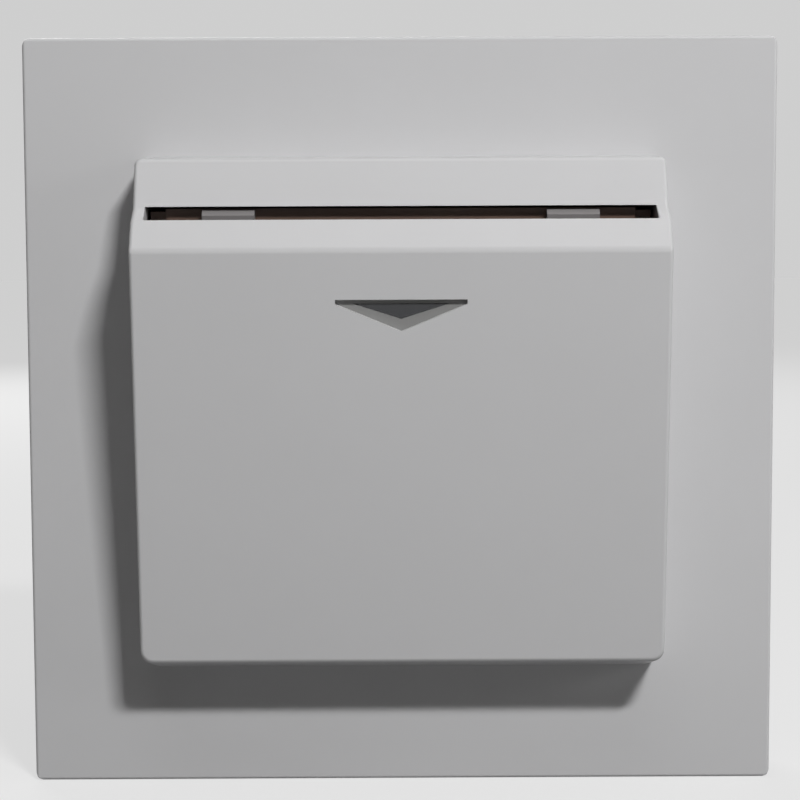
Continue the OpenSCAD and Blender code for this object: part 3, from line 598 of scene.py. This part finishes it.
def round_edges(piece, radius, segments):
    """Rounds each edge by its share of the radius, and takes the shares away again."""
    select_only(piece)
    rounding = piece.modifiers.new("rounding", "BEVEL")
    rounding.width = radius
    rounding.segments = segments
    rounding.limit_method = "WEIGHT"
    rounding.use_clamp_overlap = False
    bpy.ops.object.modifier_apply(modifier=rounding.name)
    edit(piece)
    round_share(piece, -1, lambda edge: True)
    finish_edit()
    drop_slivers(piece)


def cut_screw_rooms(piece):
    """Leaves room in a piece's rear for the heads of the two wall screws."""
    for side in (-1, 1):
        middle = Vector((side * screw_room_middle, 0, 0))
        reach = Vector((0, screw_room_out, 0))
        room = add_block("screw_room", middle - screw_room_half - reach, middle + screw_room_half + reach)
        combine(piece, room, "DIFFERENCE")


def add_legs(piece, middle, half, rear_out, inside, hook):
    """Joins four hooked legs on a piece, modelled once and mirrored to both sides and both ends."""
    leg = add_block("snap_leg", (middle - half, -rear_out - leg_root, inside),
                    (middle + half, -leg_foot_out, inside + leg_wall))
    hook_out = leg_foot_out + hook_depth
    side = math.copysign(1, hook)

    def takes_hook(face):
        """True for the side of a leg's foot that its hook stands on."""
        return face.normal.z * side > facing_limit and face.calc_center_median().y > -hook_out

    edit(leg)
    bpy.ops.mesh.bisect(plane_co=(0, -hook_out, 0), plane_no=(0, 1, 0))
    pick(leg, "FACE", takes_hook)
    bpy.ops.mesh.extrude_region_move(TRANSFORM_OT_translate={"value": (0, 0, hook)})
    finish_edit()
    mirroring = leg.modifiers.new("four_legs", "MIRROR")
    mirroring.use_axis = (True, False, True)
    bpy.ops.object.modifier_apply(modifier=mirroring.name)
    edit(leg)
    bpy.ops.mesh.normals_make_consistent(inside=False)
    finish_edit()
    combine(piece, leg, "UNION")


plate_low, plate_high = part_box("surround_frame")
plate_half = plate_high.x
plate_front = plate_low.y


def on_front_face(face):
    """True for the frame's front face."""
    return face.normal.y < -facing_limit and near(face.calc_center_median().y, plate_front)


plate = add_block("frame_plate", plate_low, plate_high)
edit(plate)
pick(plate, "FACE", lambda face: face.normal.y > facing_limit)
bpy.ops.mesh.inset(thickness=plate_wall)
bpy.ops.mesh.extrude_region_move(TRANSFORM_OT_translate={"value": (0, -plate_hollow, 0)})
bpy.ops.mesh.inset(thickness=plate_half - plate_wall - opening_half - sleeve_wall)
bpy.ops.mesh.extrude_region_move(TRANSFORM_OT_translate={"value": (0, sleeve_depth, 0)})
bpy.ops.mesh.inset(thickness=sleeve_wall)
bpy.ops.mesh.delete(type="FACE")
pick(plate, "FACE", on_front_face)
bpy.ops.mesh.inset(thickness=plate_half - opening_half)
bpy.ops.mesh.delete(type="FACE")
pick(plate, "EDGE", lambda edge: edge.is_boundary)
bpy.ops.mesh.bridge_edge_loops()
bpy.ops.mesh.select_all(action="SELECT")
bpy.ops.mesh.normals_make_consistent(inside=False)


def on_corner(edge, half):
    """True for a corner edge, from front to rear, of a square of the given half-width."""
    first, second = ends(edge)
    runs_back = near(first.x, second.x) and near(first.z, second.z)
    return runs_back and near(abs(first.x), half) and near(abs(first.z), half)


def highest(edge):
    """The height of an edge's upper end."""
    return max(place.z for place in ends(edge))


def on_front_rim(edge):
    """True for one of the four long edges round the frame's front face."""
    in_front = all(near(place.y, plate_front) for place in ends(edge))
    return in_front and near(edge.calc_length(), 2 * plate_half)


round_share(plate, plate_corner_share, lambda edge: on_corner(edge, plate_half))
round_share(plate, plate_rim_share, on_front_rim)
round_share(plate, 1, lambda edge: on_corner(edge, opening_half) and highest(edge) < 0)
round_share(plate, upper_corner_share, lambda edge: on_corner(edge, opening_half) and highest(edge) > 0)
finish_edit()
round_edges(plate, corner_radius, corner_segments)
cut_screw_rooms(plate)
add_legs(plate, frame_leg_middle, frame_leg_half, plate_hollow, frame_leg_inside, -frame_hook)
smooth_finish(plate)
white_plastic = finish("white_frame_plastic", moulded_plastic,
                       {"Colour": white_colour, "Shade": white_shade, "Grain": 5000, "Roughness": 0.37},
                       relief=0.002 * mm, shader_values={"Specular IOR Level": 0.5})
dress(plate, white_plastic)
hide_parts("surround_frame")
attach(plate, "root")


# Card holder
# The white moulding that takes the card: a back plate, a ramp that leads the card into the slot, and a
# tilted pocket front with the arrow's recess in it. Four legs hook it under the deck's flange.
holder_half = 29.5 * mm
holder_rear_out = 3.2 * mm
holder_levels = (
    (-29.5 * mm, 9 * mm),     # lower edge, level with the frame's face
    (-27.4 * mm, 17 * mm),    # foot of the pocket front
    (18.9 * mm, 22 * mm),     # crest between the pocket front and the ramp
    (22.2 * mm, 20.04 * mm),  # lip of the slot
    (23.7 * mm, 17.7 * mm),   # upper edge of the slot
    (29.05 * mm, 15.7 * mm),  # top of the back plate
    (29.5 * mm, 9 * mm),      # upper edge, level with the frame's face
)
foot_height = holder_levels[1][0]
lip_height = holder_levels[3][0]
slot_height, slot_out = holder_levels[4]
back_height, back_out = holder_levels[5]
cavity_half = 28.1 * mm
cavity_rear_out = 2 * mm
pocket_levels = (
    (-27.432 * mm, 9 * mm),       # inside of the lower edge
    (-25.978 * mm, 14.539 * mm),  # inside of the foot
    (22.2 * mm, 19.741 * mm),     # inside of the lip
    (22.7 * mm, 19.795 * mm),     # within the slot
)
back_room_levels = (
    (23.2 * mm, 15.752 * mm),     # within the slot
    (27.5 * mm, 14.144 * mm),     # inside of the back plate's top
)
mouth_out = 23 * mm
flush_angle = math.radians(0.1)  # faces that turn less than this are one flat face
holder_rim_radius = 0.45 * mm
holder_rim_segments = 4
holder_rim_angle = math.radians(12)
slot_radius = 0.18 * mm
slot_segments = 3
arrow_half = 7.2 * mm
arrow_drop = 3.5 * mm
arrow_tip = 0.5 * mm
arrow_recess = 0.6 * mm
# The recess floor's two grey colours are painted shade: the shade that falls in the arrow's recess.
recess_shade_colour = (0.26, 0.26, 0.256, 1)
recess_shade_tone = (0.24, 0.24, 0.236, 1)
arrow_height = 13.5 * mm
arrow_out = 21.417 * mm
front_tilt = math.radians(6.163)
window_half = 5.3 * mm
window_drop = 1.7 * mm
window_inset = 0.5 * mm
window_back = 2.7 * mm
holder_leg_middle = 17 * mm
holder_leg_half = 2.5 * mm
holder_leg_inside = 28.3 * mm
holder_hook = 0.6 * mm


def levelled_block(name, half_width, rear_out, levels):
    """A block whose front follows a row of levels, each a height and how far out the front stands there."""
    front_out = max(out for _, out in levels)
    block = add_block(name, (-half_width, -front_out, levels[0][0]), (half_width, -rear_out, levels[-1][0]))
    edit(block)
    for height, _ in levels[1:-1]:
        bpy.ops.mesh.select_all(action="SELECT")
        bpy.ops.mesh.bisect(plane_co=(0, 0, height), plane_no=(0, 0, 1))
    for height, out in levels:
        pick(block, "VERT", lambda corner: near(corner.co.y, -front_out) and near(corner.co.z, height))
        bpy.ops.transform.translate(value=(0, front_out - out, 0))
    finish_edit()
    return block


def trim(piece, place, facing):
    """Cuts off all of a piece that lies past a plane, and closes the cut."""
    edit(piece)
    bpy.ops.mesh.bisect(plane_co=place, plane_no=facing, use_fill=True, clear_outer=True)
    finish_edit()


def pointed_block(name, half, top, tip, drop, front, back):
    """A block that points down from blunt side tips, between two depths behind the pocket's front face."""
    point = top - drop
    slant = math.atan2(drop - tip, half)
    block = add_block(name, (-half, front, point), (half, back, top))
    for side in (-1, 1):
        trim(block, (0, 0, point), (side * math.sin(slant), 0, -math.cos(slant)))
    return block


def set_on_front(piece):
    """Turns and moves a piece from the middle on to the pocket's tilted front face."""
    select_only(piece)
    piece.rotation_euler.x = front_tilt
    piece.location = (0, -arrow_out, arrow_height)
    bpy.ops.object.transform_apply(location=True, rotation=True, scale=True)


def in_recess(place):
    """True on the floor of the arrow's recess."""
    behind = Vector((place.x, place.y + arrow_out, place.z - arrow_height))
    behind.rotate(Matrix.Rotation(-front_tilt, 3, "X"))
    in_outline = abs(behind.x) < arrow_half and -arrow_drop < behind.z < 0
    return near(behind.y, arrow_recess) and in_outline


holder = levelled_block("holder_moulding", holder_half, holder_rear_out, holder_levels)
edit(holder)
bpy.ops.mesh.dissolve_limited(angle_limit=flush_angle)


def along_wall(edge):
    """True for an edge that runs along one of the holder's two side walls, but for its rear edge."""
    first, second = ends(edge)
    on_walls = near(abs(first.x), holder_half) and near(first.x, second.x)
    return on_walls and min(first.y, second.y) < -holder_rear_out - hair


def lowest(edge):
    """The height of an edge's lower end."""
    return min(place.z for place in ends(edge))


def across_at(edge, height):
    """True for an edge that runs across the holder at a height."""
    return near(lowest(edge), height) and near(highest(edge), height)


def on_holder_rim(edge):
    """True for a sharp edge round the holder's front or at its crest, but not at the slot."""
    in_front = all(place.y < -back_out + hair for place in ends(edge))
    at_slot = across_at(edge, lip_height) or across_at(edge, slot_height)
    return in_front and not at_slot and edge.calc_face_angle(0) > holder_rim_angle


round_share(holder, 1, lambda edge: along_wall(edge) and highest(edge) < foot_height + hair)
round_share(holder, upper_corner_share, lambda edge: along_wall(edge) and lowest(edge) > back_height - hair)
finish_edit()
round_edges(holder, corner_radius, corner_segments)
edit(holder)
round_share(holder, 1, on_holder_rim)
finish_edit()
round_edges(holder, holder_rim_radius, holder_rim_segments)
pocket = levelled_block("pocket_room", cavity_half, cavity_rear_out, pocket_levels)
combine(holder, pocket, "DIFFERENCE")
back_room = levelled_block("back_room", cavity_half, cavity_rear_out, back_room_levels)
combine(holder, back_room, "DIFFERENCE")
mouth = add_block("mouth_room", (-cavity_half, -mouth_out, lip_height),
                  (cavity_half, -cavity_rear_out, slot_height))
combine(holder, mouth, "DIFFERENCE")
recess = pointed_block("arrow_room", arrow_half, top=0, tip=arrow_tip, drop=arrow_drop,
                       front=-arrow_recess, back=arrow_recess)
set_on_front(recess)
combine(holder, recess, "DIFFERENCE")
window_hole = pointed_block("window_room", window_half, top=-window_inset, tip=0, drop=window_drop,
                            front=0, back=window_back)
set_on_front(window_hole)
combine(holder, window_hole, "DIFFERENCE")
cut_screw_rooms(holder)


def on_slot(place):
    """True on the slot's open edge, at the lip, the upper edge or one of the two ends."""
    in_front = place.y < -slot_out + hair
    return in_front and lip_height - hair < place.z < slot_height + hair and abs(place.x) < cavity_half + hair


def rims_slot(edge):
    """True for an edge of the slot's rim that is long enough to be rounded."""
    return all(on_slot(place) for place in ends(edge)) and edge.calc_length() > slot_radius


edit(holder)
round_share(holder, 1, rims_slot)
finish_edit()
round_edges(holder, slot_radius, slot_segments)
add_legs(holder, holder_leg_middle, holder_leg_half, holder_rear_out, holder_leg_inside, holder_hook)
smooth_finish(holder)
holder_plastic = finish("white_holder_plastic", moulded_plastic,
                        {"Colour": white_colour, "Shade": white_shade, "Grain": 5000, "Roughness": 0.36},
                        relief=0.002 * mm, shader_values={"Specular IOR Level": 0.5})
# The arrow recess's floor gets a grey finish that paints the shade in the recess.
recess_shade_finish = finish("recess_floor_painted_shade", moulded_plastic,
                     {"Colour": recess_shade_colour, "Shade": recess_shade_tone, "Grain": 3000, "Roughness": 0.4},
                     relief=0.004 * mm, shader_values={"Specular IOR Level": 0.4})
dress(holder, holder_plastic)
holder.data.materials.append(recess_shade_finish)
edit(holder)
holder.active_material_index = holder.data.materials.find(recess_shade_finish.name)
pick(holder, "FACE", lambda face: in_recess(face.calc_center_median()))
bpy.ops.object.material_slot_assign()
finish_edit()
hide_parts("card_holder")
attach(holder, "root")


# Arrow window
# A small wedge of smoked clear plastic pressed into the bottom of the arrow's recess. With a card in,
# the light pipe behind it makes the arrow glow.
lens_back = 2.6 * mm
lens_radius = 0.06 * mm
lens_segments = 3
lens = pointed_block("arrow_window", window_half, top=-window_inset, tip=0, drop=window_drop,
                     front=arrow_recess, back=lens_back)
edit(lens)
round_share(lens, 1, lambda edge: all(near(place.y, arrow_recess) for place in ends(edge)))
finish_edit()
round_edges(lens, lens_radius, lens_segments)
set_on_front(lens)
smooth_finish(lens)
smoked_plastic = finish("smoked_plastic", moulded_plastic,
                        {"Colour": (0.066, 0.068, 0.074, 1), "Shade": (0.056, 0.058, 0.063, 1), "Grain": 5000,
                         "Roughness": 0.22},
                        relief=0.001 * mm, shader_values={"Transmission Weight": 0.35, "IOR": 1.49})
dress(lens, smoked_plastic)
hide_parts("arrow_lens")
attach(lens, "root")


# Studio
# A plain pale floor and backdrop of one tone. A soft key lamp stands at the upper right, with wide soft
# panels overhead, at the right side and behind, and a low warm fill all round. The camera stands where
# the photograph was taken.
floor_half = 3
floor_colour = (0.20, 0.20, 0.20, 1)
floor_bounce_colour = (0.16, 0.16, 0.16, 1)
floor_roughness = 0.8
floor_glow = 0.62
floor_glow_colour = (1, 1, 1, 1)
floor_height = plate_low.z
backdrop_colour = (0.62, 0.62, 0.62, 1)
fill_strength = 0.015
fill_colour = (1, 0.85, 0.72, 1)
key_power = 1.9
key_size = (0.09, 0.03)
key_distance = 0.5
key_direction = Vector((0.40, -1, 0.84))
panel_power = 0.55
panel_size = (0.45, 0.35)
panel_distance = 0.7
panel_direction = Vector((0, -0.375, 0.927))
side_power = 0.4
side_size = (0.3, 0.16)
side_distance = 0.6
side_direction = Vector((0.93, -0.36, 0.26))
rear_power = 2.6
rear_size = (0.5, 0.4)
rear_distance = 0.7
rear_direction = Vector((-0.35, 1, 0.55))
camera_target = Vector((-0.15, -9, 1.56)) * mm
camera_azimuth = math.radians(0.18)
camera_elevation = math.radians(4.72)
camera_roll = math.radians(-0.24)
camera_distance = 221.6 * mm
camera_lens = 86.4
camera_clip_start = 10 * mm
sensor_width = 36

bpy.ops.object.select_all(action="DESELECT")
bpy.ops.mesh.primitive_plane_add(size=2 * floor_half, location=(0, 0, floor_height))
floor = bpy.context.active_object
floor.name = "studio_floor"


def seen_rays(tree):
    """A value that is 1 for what the camera sees, straight, mirrored or through clear plastic."""
    rays = tree.nodes.new("ShaderNodeLightPath")
    total = rays.outputs["Is Camera Ray"]
    for kind in ("Is Glossy Ray", "Is Transmission Ray"):
        more = tree.nodes.new("ShaderNodeMath")
        more.operation = "MAXIMUM"
        tree.links.new(total, more.inputs[0])
        tree.links.new(rays.outputs[kind], more.inputs[1])
        total = more.outputs[0]
    return total


floor_finish = bpy.data.materials.new("studio_floor_paint")
floor_finish.use_nodes = True
floor_tree = floor_finish.node_tree
floor_shader = floor_tree.nodes["Principled BSDF"]
floor_shader.inputs["Roughness"].default_value = floor_roughness
floor_shader.inputs["Specular IOR Level"].default_value = 0
floor_shader.inputs["Emission Color"].default_value = floor_glow_colour
floor_tone = floor_tree.nodes.new("ShaderNodeMix")
floor_tone.data_type = "RGBA"
floor_tone.inputs[mix_first].default_value = floor_bounce_colour
floor_tone.inputs[mix_second].default_value = floor_colour
floor_light = floor_tree.nodes.new("ShaderNodeMath")
floor_light.operation = "MULTIPLY"
floor_light.inputs[1].default_value = floor_glow
floor_seen = seen_rays(floor_tree)
floor_tree.links.new(floor_seen, floor_tone.inputs[mix_share])
floor_tree.links.new(floor_tone.outputs[mix_result], floor_shader.inputs["Base Color"])
floor_tree.links.new(floor_seen, floor_light.inputs[0])
floor_tree.links.new(floor_light.outputs[0], floor_shader.inputs["Emission Strength"])
floor.data.materials.append(floor_finish)


def add_soft_lamp(name, direction, distance, size, power):
    """An oblong soft lamp that faces the switch from a direction, unseen by the camera."""
    bpy.ops.object.light_add(type="AREA", location=direction.normalized() * distance)
    lamp = bpy.context.active_object
    lamp.name = name
    lamp.rotation_euler = direction.to_track_quat("Z", "Y").to_euler()
    lamp.data.shape = "RECTANGLE"
    lamp.data.size, lamp.data.size_y = size
    lamp.data.energy = power
    lamp.visible_camera = False
    return lamp


key_lamp = add_soft_lamp("key_lamp", key_direction, key_distance, key_size, key_power)
key_lamp.visible_glossy = False
add_soft_lamp("overhead_panel", panel_direction, panel_distance, panel_size, panel_power)
add_soft_lamp("side_panel", side_direction, side_distance, side_size, side_power)
add_soft_lamp("rear_panel", rear_direction, rear_distance, rear_size, rear_power)

world = bpy.data.worlds.new("studio")
bpy.context.scene.world = world
world.use_nodes = True
world_nodes = world.node_tree.nodes
fill = world_nodes["Background"]
fill.inputs["Color"].default_value = fill_colour
fill.inputs["Strength"].default_value = fill_strength
backdrop = world_nodes.new("ShaderNodeBackground")
backdrop.inputs["Color"].default_value = backdrop_colour
either = world_nodes.new("ShaderNodeMixShader")
world.node_tree.links.new(seen_rays(world.node_tree), either.inputs[0])
world.node_tree.links.new(fill.outputs[0], either.inputs[1])
world.node_tree.links.new(backdrop.outputs[0], either.inputs[2])
world.node_tree.links.new(either.outputs[0], world_nodes["World Output"].inputs["Surface"])

forward = Vector((math.sin(camera_azimuth) * math.cos(camera_elevation),
                  math.cos(camera_azimuth) * math.cos(camera_elevation), -math.sin(camera_elevation)))
level_right = Vector((math.cos(camera_azimuth), -math.sin(camera_azimuth), 0))
level_up = level_right.cross(forward)
rolled_right = math.cos(camera_roll) * level_right + math.sin(camera_roll) * level_up
rolled_up = math.cos(camera_roll) * level_up - math.sin(camera_roll) * level_right
bpy.ops.object.camera_add()
camera = bpy.context.active_object
camera.name = "photo_camera"
turn = Matrix((rolled_right, rolled_up, -forward)).transposed().to_4x4()
camera.matrix_world = Matrix.Translation(camera_target - camera_distance * forward) @ turn
camera.data.lens = camera_lens
camera.data.sensor_width = sensor_width
camera.data.clip_start = camera_clip_start
bpy.context.scene.camera = camera
